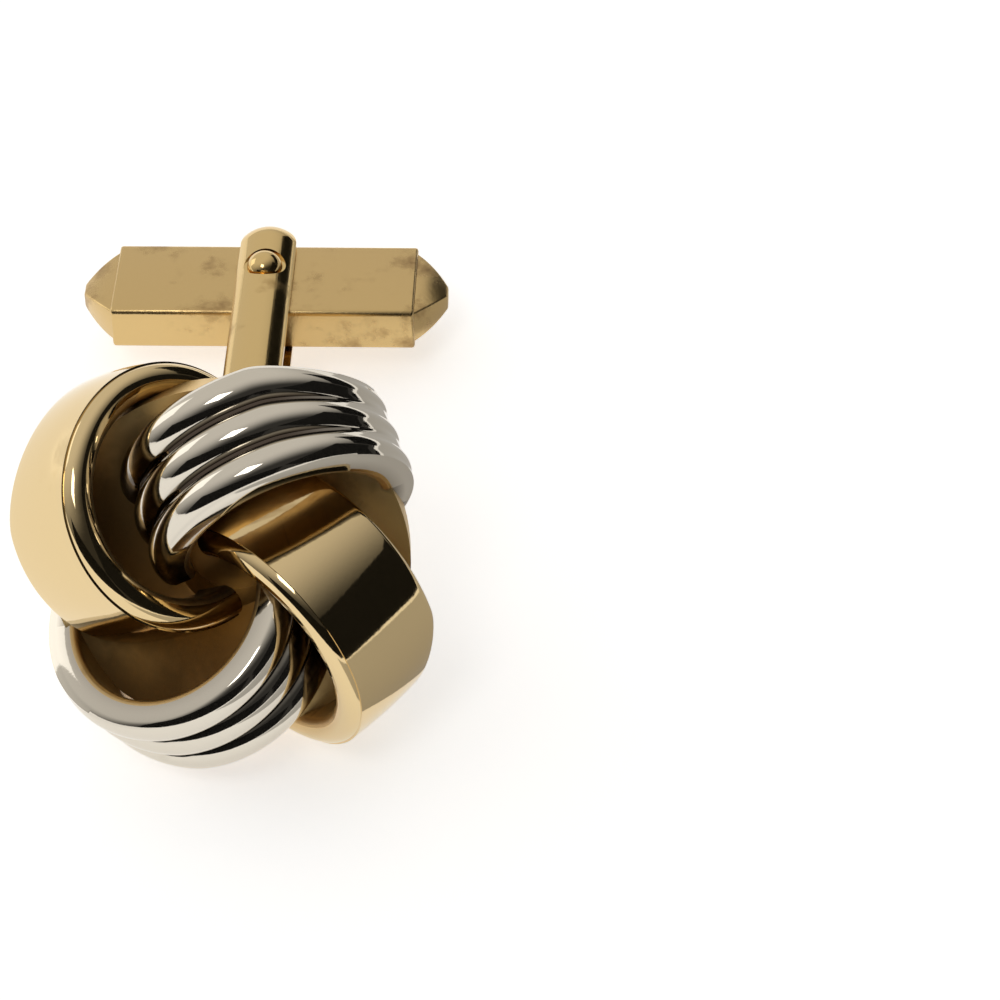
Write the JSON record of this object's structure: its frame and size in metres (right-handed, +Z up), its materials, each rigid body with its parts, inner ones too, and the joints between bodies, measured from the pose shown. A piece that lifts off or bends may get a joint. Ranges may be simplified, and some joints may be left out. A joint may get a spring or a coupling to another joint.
{
  "type": "cufflink",
  "caption": "Two-tone love-knot cufflink of interlaced plain gold and ribbed silver straps, with a U-shaped arm and a swivelling toggle bar",
  "frame": {"origin": "middle of the bounding box, on the table that the cufflink lies on", "axes": "+Z up off the table; +Y from the knot to the bar; +X along the bar, to the right for someone who looks at the knot"},
  "size_m": [0.0166, 0.0284, 0.0162],
  "materials": {
    "gold_plate": "polished gold plate with slight tarnish",
    "silver_plate": "polished rhodium or silver plate",
    "spring_steel": "plain spring steel"
  },
  "bodies": {
    "knot": {"silver_strap_upper": "silver_plate", "gold_strap_right": "gold_plate", "silver_strap_lower": "silver_plate", "gold_strap_left": "gold_plate", "knot_core": "gold_plate", "back_plate": "gold_plate", "u_arm": "gold_plate", "pivot_pin": "gold_plate", "detent_cam": "spring_steel"},
    "bar": {"bar_sleeve": "gold_plate", "bar_end_cap_left": "gold_plate", "bar_end_cap_right": "gold_plate", "leaf_spring": "spring_steel"}
  },
  "joints": [
    {"name": "bar_swivel", "type": "hinge", "parent": "knot", "child": "bar", "pos_m": [0.00005, 0.01161, 0.00261], "axis": [0, 0.1749, 0.9846], "continuous": true, "deforming": ["leaf_spring"]}
  ]
}
